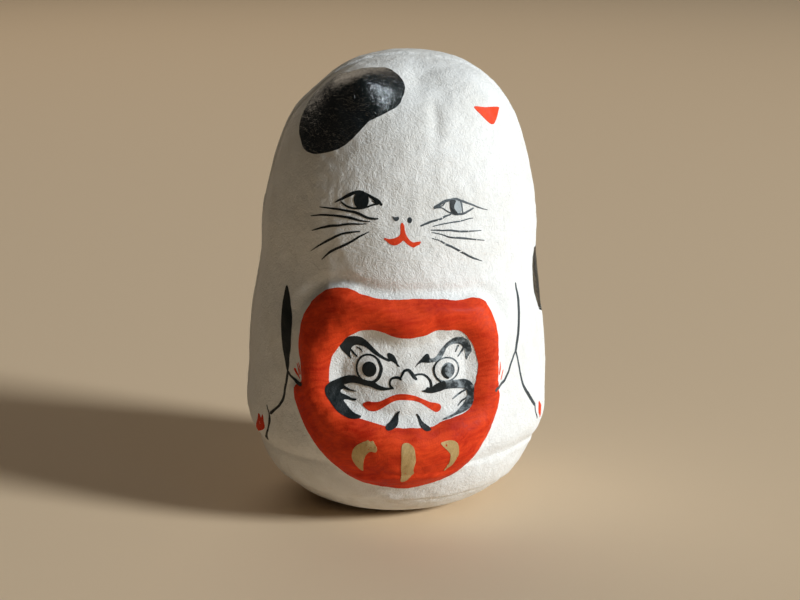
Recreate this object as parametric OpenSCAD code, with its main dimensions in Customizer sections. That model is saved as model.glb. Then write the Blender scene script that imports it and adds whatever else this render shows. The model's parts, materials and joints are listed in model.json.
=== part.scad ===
// A papier-mache roly-poly: a cat hugging a daruma, on a rounded base with a clay weight.
// Millimetres. The front faces -Y, +Z is up, and the origin is the centre of the
// small flat that the doll rests on.

/* [Body] */
// Height of the paper body, from the resting flat to the crown
body_h = 100; // [80:1:130]
// Radius at the hips, the widest place
hip_r = 32.5; // [28:0.5:38]
// Depth of the head from front to back, as a part of its width
head_depth = 0.93; // [0.85:0.01:1]
// How far the crown leans to the right
lean = 2.5; // [0:0.1:4]
// Thickness of the paper wall
wall = 1.6; // [1.2:0.1:2.4]

/* [Head] */
// Height of each moulded ear above the head
ear_rise = 1.6; // [0.6:0.1:2.4]
// Spread of each ear
ear_spread = 7; // [5:0.5:9]

/* [Daruma] */
// Width of the moulded daruma
daruma_w = 43; // [36:1:46]
// Height of the moulded daruma
daruma_h = 43; // [38:1:46]
// How far its hood stands out from the belly
hood_rise = 1.6; // [0.6:0.1:2.4]
// Width of the face hollow
face_w = 33; // [26:1:34]
// Height of the face hollow
face_h = 22; // [18:1:24]
// Depth of the face hollow below the hood
face_depth = 1.5; // [0.5:0.1:2]

/* [Washi strips] */
// Thickness of a glued strip
strip_t = 0.35; // [0.2:0.05:0.6]
// Half width of the side and crown strips
strip_half_w = 4; // [3:0.5:6]
// Height of the upper edge of the strip round the base joint
ring_top = 15; // [13:0.5:16]

/* [Weight] */
// Height of the top of the clay
clay_top = 13; // [11:0.5:14]
// Thickness of the paper disc glued over the clay
cover_t = 0.8; // [0.5:0.1:1.2]

/* [Hidden] */

// Outline of one side as radius and height, drawn for a doll 65 wide and 100 tall.
// It starts at the rim of the resting flat and ends at the crown.
outline = [[9, 0], [18.2, 1.2], [24.6, 5], [28.6, 10], [30.5, 15], [32.5, 21], [31.9, 40],
           [29.8, 55], [29.6, 65], [27.6, 76], [24, 86], [17.9, 93.5], [10.5, 98], [0, 100]];
DRAWN_R = 32.5;               // hip radius of the outline as drawn
DRAWN_H = 100;                // height of the outline as drawn
DISH_SPANS = 3;               // the first three spans of the outline belong to the dish
STEPS = 4;                    // points along each span
glue = 0.05;                  // film of glue between a strip and the wall
front_cols = 56;              // columns across the front half
rear_cols = 30;               // columns across the rear half
strip_cols = 4;               // columns across a side strip
crown_cols = 72;              // columns round the sheet the crown strip is cut from
round_facets = 96;            // facets round the dish and the clay
ring_r_gap = 0.15;            // room round the clay and its cover
scale_r = hip_r / DRAWN_R;
scale_z = body_h / DRAWN_H;
join_z = outline[DISH_SPANS][1] * scale_z;
side_strip_top = 86 * scale_z;
strip_butt = 0.3;             // a strip stops this far short of the next one

// ---- outline -------------------------------------------------------------

last = len(outline) - 1;

// Outline with one guide point added before it and one after it.
// The last guide mirrors the outline, so the crown is level.
guides = concat([2 * outline[0] - outline[1]], outline,
                [[-outline[last - 1][0], outline[last - 1][1]]]);

// Catmull-Rom curve through b and c
function blend4(a, b, c, d, t) =
    0.5 * (2 * b + (c - a) * t + (2 * a - 5 * b + 4 * c - d) * t * t
           + (3 * b - a - 3 * c + d) * t * t * t);

function stretch(p) = [p[0] * scale_r, p[1] * scale_z];

curve = [for (i = [0:last - 1], s = [0:STEPS - 1])
             stretch(blend4(guides[i], guides[i + 1], guides[i + 2], guides[i + 3], s / STEPS)),
         stretch(outline[last])];
crown = len(curve) - 1;
join = DISH_SPANS * STEPS;

function unit(v) = v / norm(v);

// Outward direction of the outline at point i
function side_of(v) = [v[1], -v[0]];
function out_dir(i) =
    i == crown ? [0, 1]
    : i == 0 ? unit(side_of(curve[1] - curve[0]))
    : unit(side_of(curve[i + 1] - curve[i - 1]));

// Outline moved outwards by d, from point a to point b
function moved(d, a, b) = [for (i = [a:b]) curve[i] + d * out_dir(i)];

// ---- relief --------------------------------------------------------------

// Eases from 0 at a to 1 at b
function ease(a, b, x) = let(t = max(0, min(1, (x - a) / (b - a)))) t * t * (3 - 2 * t);

// A soft round lump of the given spread
function lump(p, c, spread) = exp(-pow(norm(p - c) / spread, 2));

// 0 at the middle of a rounded square, 1 on its edge
function squarish(x, z, w, h, power) =
    pow(pow(abs(2 * x / w), power) + pow(abs(2 * z / h), power), 1 / power);

left_ear = [-11, -13, 92];
right_ear = [15, -11, 91];
left_foot = [-31, -8, 20];
right_foot = [31, -8, 22];
foot_spread = 9;
foot_rise = 0.6;
daruma_mid = [0.3, 31.5];
face_mid = [1.8, 34.5];
DARUMA_SQUARE = 2.6;          // 2 would make the daruma an oval, more makes it squarer
FACE_SQUARE = 2.4;            // the same for its face

function ears(p) = ear_rise * (lump(p, left_ear, ear_spread) + lump(p, right_ear, ear_spread));
function feet(p) = foot_rise * (lump(p, left_foot, foot_spread) + lump(p, right_foot, foot_spread));
function daruma(p) =
    p[1] > 0 ? 0
    : let(body = squarish(p[0] - daruma_mid[0], p[2] - daruma_mid[1], daruma_w, daruma_h,
                          DARUMA_SQUARE),
          face = squarish(p[0] - face_mid[0], p[2] - face_mid[1], face_w, face_h, FACE_SQUARE))
      hood_rise * ease(1.08, 0.84, body) - face_depth * ease(1.15, 0.7, face);

// All relief, faded out where the round base begins
function relief(p) = (ears(p) + feet(p) + daruma(p)) * ease(ring_top + 0.5, ring_top + 5, p[2]);

// ---- surface -------------------------------------------------------------

function depth_at(z) = 1 - (1 - head_depth) * ease(ring_top, 60, z);
function lean_at(z) = lean * pow(max(0, z - ring_top) / (body_h - ring_top), 2);

// Point i of the outline turned to the angle a, moved d outwards from the relief.
// The angle is 0 at the front, -90 at the left and 90 at the right.
function skin(i, a, d) =
    let(r = curve[i][0], z = curve[i][1], n = out_dir(i), k = depth_at(z),
        p = [r * sin(a), -k * r * cos(a), z],
        rise = relief(p) + d)
    [p[0] + rise * n[0] * sin(a) + lean_at(z), p[1] - rise * n[0] * cos(a), z + rise * n[1]];

// ---- closed sheet of paper between two offsets of the skin ----------------

// Rows run up the outline from first to top, columns run round from a0 to a1.
// A sheet whose top is the crown ends in one point there. A ring joins up with itself.
module paper(first, top, a0, a1, cols, outer, inner, ring = false) {
    peak = top == crown;
    rows = peak ? top - first : top - first + 1;
    width = ring ? cols : cols + 1;
    function angle(j) = a0 + (a1 - a0) * j / cols;
    function side(d) = [for (i = [0:rows - 1], j = [0:width - 1]) skin(first + i, angle(j), d)];
    points = concat(side(outer), side(inner),
                    peak ? [skin(crown, 0, outer), skin(crown, 0, inner)] : []);
    in0 = rows * width;
    out_peak = 2 * in0;
    in_peak = out_peak + 1;
    function at(i, j) = i * width + j % width;
    cells = [for (i = [0:rows - 2], j = [0:cols - 1])
                 [at(i, j), at(i, j + 1), at(i + 1, j + 1), at(i + 1, j)]];
    outside = [for (q = cells, k = [0, 1])
                   k == 0 ? [q[0], q[3], q[2]] : [q[0], q[2], q[1]]];
    inside = [for (q = cells, k = [0, 1])
                  k == 0 ? [q[0] + in0, q[2] + in0, q[3] + in0]
                         : [q[0] + in0, q[1] + in0, q[2] + in0]];
    // A wall of two triangles from the outer edge p-q to the inner edge below it
    function wall_of(p, q) = [[p, q, q + in0], [p, q + in0, p + in0]];
    bottom = [for (j = [0:cols - 1], t = wall_of(at(0, j), at(0, j + 1))) t];
    left = ring ? [] : [for (i = [0:rows - 2], t = wall_of(at(i + 1, 0), at(i, 0))) t];
    right = ring ? [] : [for (i = [0:rows - 2], t = wall_of(at(i, cols), at(i + 1, cols))) t];
    upper = rows - 1;
    rim = peak ? [] : [for (j = [0:cols - 1], t = wall_of(at(upper, j + 1), at(upper, j))) t];
    cap = !peak ? [] : [for (j = [0:cols - 1], k = [0, 1])
                            k == 0 ? [at(upper, j), out_peak, at(upper, j + 1)]
                                   : [at(upper, j) + in0, at(upper, j + 1) + in0, in_peak]];
    cap_sides = !peak || ring ? []
        : [[out_peak, at(upper, 0), at(upper, 0) + in0],
           [out_peak, at(upper, 0) + in0, in_peak],
           [at(upper, cols), out_peak, in_peak],
           [at(upper, cols), in_peak, at(upper, cols) + in0]];
    polyhedron(points, concat(outside, inside, bottom, left, right, rim, cap, cap_sides));
}

// First point of the outline at or above the height z
function row_above(z) = [for (i = [0:crown]) if (curve[i][1] >= z) i][0];

// A disc-like solid turned from a side profile that starts and ends on the axis
module turned(profile) rotate_extrude($fn = round_facets) polygon(profile);

// ---- sub-parts -----------------------------------------------------------

// The front half of the body, moulded with the face, the ears and the daruma
module front_shell() {
    color("whitesmoke") paper(join, crown, -90, 90, front_cols, 0, -wall);
}

// The plain rear half of the body
module rear_shell() {
    color("ivory") paper(join, crown, 90, 270, rear_cols, 0, -wall);
}

// A strip of washi glued down one side, over the joint of the two halves
module side_strip(a) {
    reach = strip_half_w / hip_r * 180 / PI;
    low = row_above(ring_top + strip_butt);
    high = row_above(side_strip_top);
    color("antiquewhite") paper(low, high, a - reach, a + reach, strip_cols,
                              strip_t + glue, glue);
}

module left_seam_strip() side_strip(-90);
module right_seam_strip() side_strip(90);

// The strip that runs over the crown, between the two side strips
module crown_seam_strip() {
    low = row_above(side_strip_top);
    color("antiquewhite") intersection() {
        paper(low, crown, 0, 360, crown_cols, strip_t + glue, glue, ring = true);
        translate([-hip_r, -strip_half_w, side_strip_top + strip_butt])
            cube([2 * hip_r, 2 * strip_half_w, body_h]);
    }
}

// The round bottom, moulded as a dish with a small flat to rest on
module base_dish() {
    outer = moved(0, 0, join);
    inner = moved(-wall, 0, join);
    top = [inner[join][0], join_z];
    color("linen") turned(concat([[0, 0]], outer, [top],
                                 [for (i = [join - 1:-1:0]) inner[i]], [[0, wall]]));
}

// The washi strip round the joint of the body and the dish
module base_joint_strip() {
    low = join - STEPS + 1;
    high = row_above(ring_top);
    outer = moved(glue + strip_t, low, high);
    inner = moved(glue, low, high);
    color("antiquewhite") turned(concat(outer, [for (i = [high - low:-1:0]) inner[i]]));
}

// The lump of fired clay that brings the doll upright
module clay_weight() {
    rim = moved(-wall - ring_r_gap, 0, row_above(clay_top) - 1);
    color("peru") turned(concat([[0, rim[0][1]]], rim,
                                [[rim[len(rim) - 1][0], clay_top], [0, clay_top]]));
}

// The paper disc glued over the clay
module weight_cover() {
    color("wheat") translate([0, 0, clay_top + glue])
        cylinder(r = curve[row_above(clay_top) - 1][0] - wall - 2 * ring_r_gap, h = cover_t,
                 $fn = round_facets);
}

front_shell();
rear_shell();
left_seam_strip();
right_seam_strip();
crown_seam_strip();
base_dish();
base_joint_strip();
clay_weight();
weight_cover();
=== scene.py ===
# %% [markdown]
# # A papier-mache cat that holds a daruma
# The doll is made the way a folk workshop makes it. Layers of paper are pasted over a
# wooden mould, cut open into two halves, glued together again with strips of washi and
# closed below with a rounded dish that holds a clay weight. White shell powder covers
# everything, and the two faces are painted on with a few quick strokes of a brush.
# The solid model comes first, because every piece below has to sit on it.

# %% Load the solid model
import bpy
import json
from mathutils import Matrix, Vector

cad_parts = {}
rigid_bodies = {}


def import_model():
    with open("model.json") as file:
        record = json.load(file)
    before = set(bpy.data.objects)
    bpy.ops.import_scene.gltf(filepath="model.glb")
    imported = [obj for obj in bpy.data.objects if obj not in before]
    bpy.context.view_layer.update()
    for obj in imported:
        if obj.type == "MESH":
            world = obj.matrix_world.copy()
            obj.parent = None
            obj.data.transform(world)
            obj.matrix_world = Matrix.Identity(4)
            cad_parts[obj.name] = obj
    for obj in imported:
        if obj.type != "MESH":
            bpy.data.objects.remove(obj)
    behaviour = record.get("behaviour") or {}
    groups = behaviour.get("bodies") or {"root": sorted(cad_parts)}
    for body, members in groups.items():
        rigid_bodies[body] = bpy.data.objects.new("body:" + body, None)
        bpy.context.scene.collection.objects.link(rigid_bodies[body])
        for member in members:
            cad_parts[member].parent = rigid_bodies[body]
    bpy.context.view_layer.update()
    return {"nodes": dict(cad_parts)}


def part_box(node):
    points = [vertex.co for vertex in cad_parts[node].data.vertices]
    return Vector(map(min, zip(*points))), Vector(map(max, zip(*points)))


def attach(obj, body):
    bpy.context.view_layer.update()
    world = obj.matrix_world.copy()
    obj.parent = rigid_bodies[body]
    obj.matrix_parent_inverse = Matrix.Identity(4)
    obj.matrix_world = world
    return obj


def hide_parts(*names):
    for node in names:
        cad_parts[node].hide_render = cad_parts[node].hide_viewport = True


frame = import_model()

# %% Tools of the trade
import json
import math
import bmesh
import bpy
import numpy as np
from mathutils import Vector
from mathutils.bvhtree import BVHTree
from mathutils.geometry import delaunay_2d_cdt

MM = 0.001
scene = bpy.context.scene

# %% [markdown]
# ## Camera
# A small doll is looked at from a little above, with a long lens that keeps its sides
# nearly parallel. The distances are parts of the doll's height, so the view follows it.

# %% Camera
VIEW_UP = math.radians(14)
DOLLS_AWAY = 4.208
AIM_RIGHT = 1.1
AIM_UP = 0.44
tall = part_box("front_shell")[1][2] / MM
view_far = DOLLS_AWAY * tall
view_at = Vector((AIM_RIGHT, 0, AIM_UP * tall)) * MM

eye = bpy.data.cameras.new("eye")
eye.lens = 85
eye.sensor_width = 36
eye.clip_start = 0.01
camera = bpy.data.objects.new("camera", eye)
scene.collection.objects.link(camera)
towards_eye = Vector((0, -math.cos(VIEW_UP), math.sin(VIEW_UP)))
camera.location = view_at + towards_eye * view_far * MM
camera.rotation_euler = towards_eye.to_track_quat("Z", "Y").to_euler()
scene.camera = camera
print("camera stands", round(view_far), "mm away")

# %% [markdown]
# ## The outline
# The body is turned from one side outline, like a pot. A few points and a smooth
# Catmull-Rom curve through them are enough. The same points shape the solid model, so
# the skin made here lies on it. They are scaled by the solid dish and the solid shell.

# %% Smooth curves
def smooth(points, step, closed=False, ends=None):
    """A curve through the points, as points about one step apart."""
    p = np.asarray(points, float)
    if closed:
        p = np.vstack([p[-1], p, p[0], p[1]])
    else:
        before, after = ends or (2 * p[0] - p[1], 2 * p[-1] - p[-2])
        p = np.vstack([before, p, after])
    curve = []
    for a, b, c, d in zip(p, p[1:], p[2:], p[3:]):
        count = max(2, int(np.linalg.norm(c - b) / step))
        t = np.linspace(0, 1, count, endpoint=False)[:, None]
        bend = 2 * a - 5 * b + 4 * c - d
        twist = 3 * b - a - 3 * c + d
        curve.append(0.5 * (2 * b + (c - a) * t + bend * t**2 + twist * t**3))
    if not closed:
        curve.append(p[-2:-1])
    return np.vstack(curve)


# %% Side outline of the body
FLAT_R = 9
FLAT_STEPS = 60
OUTLINE = [(FLAT_R, 0), (18.2, 1.2), (24.6, 5), (28.6, 10), (30.5, 15), (32.5, 21),
           (31.9, 40), (29.8, 55), (29.6, 65), (27.6, 76), (24, 86), (17.9, 93.5),
           (10.5, 98), (0, 100)]
dish_top = OUTLINE[3]
belly = OUTLINE[5]
dish_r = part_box("base_dish")[1][0] / MM
wide_scale = dish_r / dish_top[0]
tall_scale = tall / OUTLINE[-1][1]

rim_guide = 2 * np.array(OUTLINE[0]) - OUTLINE[1]
crown_guide = np.array(OUTLINE[-2]) * (-1, 1)
side = smooth(OUTLINE, 0.1, ends=(rim_guide, crown_guide))
flat_r = np.linspace(0, FLAT_R, FLAT_STEPS, endpoint=False)
flat = np.column_stack([flat_r, np.zeros(FLAT_STEPS)])
side = np.vstack([flat, side]) * (wide_scale, tall_scale)

side_r, side_z = side.T
side_s = np.r_[0, np.cumsum(np.hypot(*np.diff(side, axis=0).T))]
slope = np.gradient(side, side_s, axis=0)
side_out = np.column_stack([slope[:, 1], -slope[:, 0]])
crown_s = side_s[-1]
join_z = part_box("front_shell")[0][2] / MM


def s_at(z):
    """How far along the outline, from the middle of the flat, the height z is reached."""
    return float(np.interp(z, side_z[FLAT_STEPS:], side_s[FLAT_STEPS:]))


print("outline is", round(crown_s, 1), "mm long, halves meet the dish at", round(join_z, 1))

# %% [markdown]
# ## Relief
# The mould carries soft shapes: ears, arms, feet and the daruma with its hooded rim and
# hollow face. Each is a small formula that says how far the paper stands out from the
# turned body. The daruma's two borders are also the borders of its paint, so they are
# kept as outlines seen from the front, as (x, z) in millimetres.

# %% Borders of the daruma
DARUMA = [(-12, 53.1), (-9.3, 53.1), (-6.8, 52.2), (-4, 51.5), (0, 51.2), (5.2, 51.3),
          (10.4, 51), (13.6, 50.6), (16.6, 50.8), (18.6, 49.9), (20, 48), (21, 45.7),
          (21.6, 43), (21.8, 38), (21.8, 32), (22.1, 29.7), (21.5, 26.4), (20.4, 23),
          (18.9, 20.2), (16.6, 16.9), (13.8, 14.3), (10.6, 12.4), (7.5, 11.3), (4.3, 10.4),
          (1.1, 10.2), (-2.1, 10.6), (-6.3, 11.6), (-9.5, 13.1), (-12.7, 15.6),
          (-15.8, 18.7), (-18.4, 22.3), (-20.1, 25.8), (-21.2, 29.2), (-21.3, 31.2),
          (-20.6, 32.1), (-19.8, 32.9), (-19.6, 34.5), (-19.8, 37), (-20.2, 40),
          (-20, 43.2), (-19.4, 45.8), (-18.3, 48.3), (-16.7, 50.4), (-14.6, 52.2)]
FACE = [(-10.1, 43.2), (-9.3, 43.7), (-8.2, 44.3), (-7.2, 44.8), (-5.9, 45), (-4.7, 45.1),
        (-3.5, 45), (-2, 44.5), (-0.8, 44), (0.5, 43.6), (1.7, 43.4), (3.2, 43.4),
        (4.6, 43.6), (5.9, 43.8), (7.1, 44.2), (8.4, 44.8), (9.6, 44.8), (11.1, 44.7),
        (12.6, 44.6), (13.8, 44.2), (14.9, 43.4), (15.5, 42.5), (16.2, 41.4), (16.7, 40.1),
        (17, 38.8), (17.4, 37.5), (17.5, 36.2), (17.3, 35), (17.1, 33.8), (16.7, 32.1),
        (16.6, 30.2), (16.3, 28.6), (15.4, 27.5), (14.1, 26.9), (12.6, 26.5), (10.9, 26.1),
        (9.4, 25.6), (7.8, 24.9), (6.1, 24.7), (4.2, 24.8), (2.3, 24.7), (0.7, 24.8),
        (-1, 25), (-2.6, 25.4), (-4.3, 25.8), (-6, 26.2), (-7.7, 26.8), (-10, 27.5),
        (-11.4, 28.9), (-12.7, 30.3), (-13.5, 32.1), (-13.7, 34), (-13.7, 36.1),
        (-13.4, 37.8), (-12.9, 39.3), (-11.9, 40.8), (-11.1, 42)]
daruma_border = smooth(DARUMA, 0.5, closed=True)
face_border = smooth(FACE, 0.5, closed=True)
for name, border in (("daruma", daruma_border), ("its face", face_border)):
    wide, high = np.ptp(border, axis=0)
    print(name, "is", round(wide, 1), "mm wide and", round(high, 1), "mm high")


# %% Inside or outside a border
def inside(points, loop):
    """True for each flat point that lies inside the loop."""
    x, y = points.T
    found = np.zeros(len(points), bool)
    for (ax, ay), (bx, by) in zip(loop, np.roll(loop, -1, axis=0)):
        crosses = (ay > y) != (by > y)
        if ay != by:
            found ^= crosses & (x < ax + (y - ay) * (bx - ax) / (by - ay))
    return found


def depth_inside(points, loop):
    """Distance to the loop, positive inside it and negative outside."""
    near = np.full(len(points), 1e9)
    for a, b in zip(loop, np.roll(loop, -1, axis=0)):
        way = b - a
        t = np.clip(((points - a) @ way) / (way @ way), 0, 1)
        near = np.minimum(near, np.linalg.norm(points - a - t[:, None] * way, axis=1))
    return np.where(inside(points, loop), near, -near)


# %% Soft shapes
def ease(low, high, x):
    """Rises smoothly from 0 at low to 1 at high."""
    t = np.clip((x - low) / (high - low), 0, 1)
    return t * t * (3 - 2 * t)


def lump(p, middle, spread):
    """A soft round swelling, 1 at its middle."""
    reach = np.broadcast_to(np.asarray(spread, float), 3)
    return np.exp(-(((p - np.asarray(middle)) / reach) ** 2).sum(axis=1))


def daruma_rise(p):
    """Hood, hollow face and belly of the daruma. Only the front half has them."""
    flat_p = p[:, [0, 2]]
    near = (p[:, 1] < 0) & (p[:, 2] < 62) & (np.abs(p[:, 0]) < 28)
    rise = np.zeros(len(p))
    q = p[near]
    body = depth_inside(flat_p[near], daruma_border)
    face = depth_inside(flat_p[near], face_border)
    hood = ease(-1.2, 2.4, body)
    rim = 0.8 * hood * np.exp(-(((face + 3.6) / 2.4) ** 2))
    hollow = 2.3 * ease(-2.0, 2.8, face)
    belly = 0.9 * lump(q, (1.5, -31, 18), (13, 9, 6))
    nose = 1.2 * lump(q, (3.3, -31, 34), (3.2, 9, 2.6))
    eyes = 0.6 * (lump(q, (-5.4, -31, 37), 3.2) + lump(q, (11, -30, 36.5), 3.2))
    lips = 0.6 * lump(q, (1.5, -31, 29), (7, 9, 2.5))
    groove = 0.6 * np.exp(-(((body + 1.6) / 1.3) ** 2)) * ease(40, 50, q[:, 2])
    rise[near] = 1.65 * hood + rim - hollow + belly + nose + eyes + lips - groove
    return rise


def cat_rise(p):
    """Ears, chin, arms, paws, feet and flanks of the cat, and the dents of its crown."""
    ears = 1.1 * lump(p, (-10, -13.5, 92), (7.5, 8, 6)) + 1.5 * lump(p, (17, -9, 92), 6.5)
    ears += 2.4 * lump(p, (-6, -15.5, 93.5), (3.9, 6, 4)) + lump(p, (-12, -13, 93), (2.6, 6, 5))
    dip = 0.9 * lump(p, (5.5, -14, 95), (4, 6, 5)) + 0.7 * lump(p, (-17, 0, 93), (8, 12, 5))
    dip += 0.5 * lump(p, (3, 0, 101), (20, 20, 10))
    chin = 0.8 * lump(p, (1.5, -28, 59), (12, 12, 7))
    arms = 0.7 * (lump(p, (-22.5, -20, 42), (4.5, 9, 9)) + lump(p, (23, -19, 43), (4.5, 9, 9)))
    paws = 0.5 * (lump(p, (-20.6, -22, 34), 3.2) + lump(p, (21.6, -22, 34), 3.2))
    feet = 0.8 * lump(p, (-30.5, -9, 22), (6, 8, 5)) + 1.1 * lump(p, (31, -9, 21), (7, 8, 9))
    thighs = 0.4 * (lump(p, (-27, -14, 28), 7) + lump(p, (27, -16, 29), 7))
    flank = 0.5 * (lump(p, (30, -1, 58), (9, 14, 9)) + lump(p, (33, -1, 34), (8, 14, 9)))
    crease = 0.5 * lump(p, (8.5, -20, 88), (1.3, 6, 5))
    crease += 0.4 * lump(p, (10.5, -18, 92), (1.5, 6, 2))
    return ears - dip + chin + arms + paws + feet + thighs + flank - crease


# %% [markdown]
# ## Hand-made unevenness
# No paper wall is perfectly smooth. A small cube of random numbers, read with soft
# blending between its cells, gives dents of any size. Four sizes are stacked: two for
# the broad waves of a hand-pasted wall, one for the puckers of drying paper, and one for
# small lumps of pulp. Each reads another part of the cube. The random numbers come from
# a fixed seed, so the doll is the same every time.

# %% Dents
CELLS = 64
CUBE_START = 300
dice = np.random.default_rng(20).random((CELLS, CELLS, CELLS)) - 0.5
print("dice run from", round(dice.min(), 2), "to", round(dice.max(), 2))


def dents(p, size):
    """Soft random dents of one size, between -0.5 and 0.5."""
    q = np.asarray(p) / size + CUBE_START
    cell = np.floor(q).astype(int)
    t = q - cell
    t = t * t * (3 - 2 * t)
    total = 0
    for i in (0, 1):
        for j in (0, 1):
            for k in (0, 1):
                share = np.prod(np.where((i, j, k), t, 1 - t), axis=1)
                corner = (cell + (i, j, k)) % CELLS
                total = total + share * dice[corner[:, 0], corner[:, 1], corner[:, 2]]
    return total


def unevenness(p):
    """Waves, puckers and pulp, fading out under the doll where it rests."""
    broad = 0.36 * dents(p, 15) + 0.24 * dents(p + 7, 6.5)
    fine = 0.19 * dents(p + 19, 2.6) + 0.12 * dents(p + 31, 1.3)
    return (broad + fine) * ease(0.3, 6, p[:, 2])


# %% The skin of the doll
HEAD_DEPTH = 0.93
HEAD_FROM = 60
LEAN = 2.5
ROUND_TOP = 15
RELIEF_FROM = 9


def skin(s, a, lift=0.0):
    """Points of the outer skin, at s along the outline and turned to the angle a.
    The angle is 0 at the front, -pi/2 at the left and pi/2 at the right."""
    s, a = np.broadcast_arrays(np.asarray(s, float).ravel(), np.asarray(a, float).ravel())
    r = np.interp(s, side_s, side_r)
    z = np.interp(s, side_s, side_z)
    out_r = np.interp(s, side_s, side_out[:, 0])
    out_z = np.interp(s, side_s, side_out[:, 1])
    narrow = 1 - (1 - HEAD_DEPTH) * ease(ROUND_TOP, HEAD_FROM, z)
    lean = LEAN * (np.maximum(0, z - ROUND_TOP) / (tall - ROUND_TOP)) ** 2
    p = np.column_stack([r * np.sin(a) + lean, -narrow * r * np.cos(a), z])
    out = np.column_stack([out_r * np.sin(a), -out_r * np.cos(a), out_z])
    above = ease(RELIEF_FROM, ROUND_TOP, z)
    rise = (daruma_rise(p) + cat_rise(p)) * above + unevenness(p) + lift
    return p + out * rise[:, None]


probe = skin(np.full(5, s_at(34)), np.radians([0, -90, 90, 180, 40]))
print("radius at the belly", np.round(np.hypot(probe[:, 0], probe[:, 1]), 1))

# %% [markdown]
# ## From points to paper
# A surface is a stack of rows of points, joined by triangles. Towards the crown a row
# has fewer points, so the triangles keep their size instead of crowding at the pole.
# A piece of paper is two such surfaces, a fine outer one and a coarse inner one, with
# walls between their edges. Each piece is a closed solid, as a real piece of paper is.

# %% Joining rows
POLE_R = 0.02


def zip_rows(low, high):
    """Triangles between two rows of point numbers that run the same way."""
    if len(low) == len(high):
        first = np.column_stack([low[:-1], low[1:], high[1:]])
        second = np.column_stack([low[:-1], high[1:], high[:-1]])
        return np.vstack([first, second])
    faces = []
    i = j = 0
    while i < len(low) - 1 or j < len(high) - 1:
        low_next = (i + 1) / max(1, len(low) - 1)
        high_next = (j + 1) / max(1, len(high) - 1)
        if j == len(high) - 1 or (i < len(low) - 1 and low_next <= high_next):
            faces.append((low[i], low[i + 1], high[j]))
            i += 1
        else:
            faces.append((low[i], high[j + 1], high[j]))
            j += 1
    return np.array(faces)


def join_rows(rows):
    """Points and triangles of the surface through a stack of rows."""
    starts = np.cumsum([0] + [len(row) for row in rows])
    ids = [np.arange(a, b) for a, b in zip(starts, starts[1:])]
    return np.vstack(rows), np.vstack([zip_rows(a, b) for a, b in zip(ids, ids[1:])])


def skin_rows(s0, s1, a0, a1, grain, lift=0.0):
    """Rows of skin points from s0 up to s1 and from the angle a0 round to a1.
    A row takes the smallest number on a ladder that still keeps its points close."""
    count = int(np.ceil((s1 - s0) / grain)) + 1
    rows = []
    widest = (a1 - a0) * side_r.max() / grain
    ladder = [max(2, int(widest * 0.8**k)) for k in range(40)]
    for s in np.linspace(s0, s1, count):
        r = np.interp(s, side_s, side_r)
        if r < POLE_R:
            rows.append(skin(s, 0, lift))
            continue
        wanted = (a1 - a0) * r / grain
        columns = min(n for n in ladder if n >= wanted or n == ladder[0])
        rows.append(skin(s, np.linspace(a0, a1, columns + 1), lift))
    return rows


# %% Making pieces
WELD = 0.002
SHARP = math.radians(60)
outer_skins = []


def add_piece(name, surfaces, weld=True):
    """A mesh object from surfaces in millimetres, welded where they meet."""
    starts = np.cumsum([0] + [len(points) for points, faces in surfaces])
    points = np.vstack([points for points, faces in surfaces]) * MM
    faces = np.vstack([faces + start for (_, faces), start in zip(surfaces, starts)])
    mesh = bpy.data.meshes.new(name)
    mesh.from_pydata(points.tolist(), [], faces.tolist())
    shape = bmesh.new()
    shape.from_mesh(mesh)
    if weld:
        bmesh.ops.remove_doubles(shape, verts=shape.verts, dist=WELD * MM)
    bmesh.ops.recalc_face_normals(shape, faces=shape.faces)
    shape.to_mesh(mesh)
    shape.free()
    mesh.shade_smooth()
    mesh.set_sharp_from_angle(angle=SHARP)
    piece = bpy.data.objects.new(name, mesh)
    scene.collection.objects.link(piece)
    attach(piece, "root")
    print(name, len(faces), "faces")
    return piece


def paper(name, outer, inner):
    """A closed piece of paper from its outer and its inner rows."""
    outer_skins.append(join_rows(outer))
    surfaces = [outer_skins[-1], join_rows(inner)]
    middle = outer[len(outer) // 2]
    goes_round = np.allclose(middle[0], middle[-1])
    for end in (0, -1):
        if len(outer[end]) > 1:
            surfaces.append(join_rows([outer[end], inner[end]]))
        if not goes_round:
            edges = [np.vstack([row[end] for row in rows]) for rows in (outer, inner)]
            surfaces.append(join_rows(edges))
    return add_piece(name, surfaces)


# %% [markdown]
# ## Shells and dish
# The front half carries all the moulding, so its grain is the finest. The rear half
# and the dish are plain. They meet edge to edge, and paper strips cover the joints.

# %% The two halves and the dish
WALL = 1.6
COARSER_INSIDE = 6
QUARTER = math.pi / 2
join_s = s_at(join_z)


def shell(name, a0, a1, grain):
    """Half of the body above the dish, between two angles."""
    outer = skin_rows(join_s, crown_s, a0, a1, grain)
    inner = skin_rows(join_s, crown_s, a0, a1, grain * COARSER_INSIDE, -WALL)
    piece = paper(name, outer, inner)
    return piece


front = shell("front_half", -QUARTER, QUARTER, 0.33)
rear = shell("rear_half", QUARTER, 3 * QUARTER, 0.5)
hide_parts("front_shell")
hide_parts("rear_shell")

dish = paper("round_dish", skin_rows(0, join_s, 0, 4 * QUARTER, 0.5),
             skin_rows(0, join_s, 0, 4 * QUARTER, 2, -WALL))
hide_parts("base_dish")

# %% [markdown]
# ## Washi strips
# A strip is a third of a millimetre thick with torn edges that thin out to nothing,
# which is why the joints nearly vanish under the white. Each strip follows the skin
# beneath it and sinks into it along its edges. One goes up each side, one over the
# crown, and one round the joint with the dish, where its upper edge leaves a fine step.

# %% Strips
STRIP = 0.4
SUNK = 0.06
UNDER_SLOPE = 0.02
TEAR = 0.7
crown_low, crown_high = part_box("crown_seam_strip")
strip_half = (crown_high[1] - crown_low[1]) / MM / 2
side_top_s = s_at(crown_low[2] / MM)
print("strips are", round(2 * strip_half, 1), "mm wide")


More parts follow.
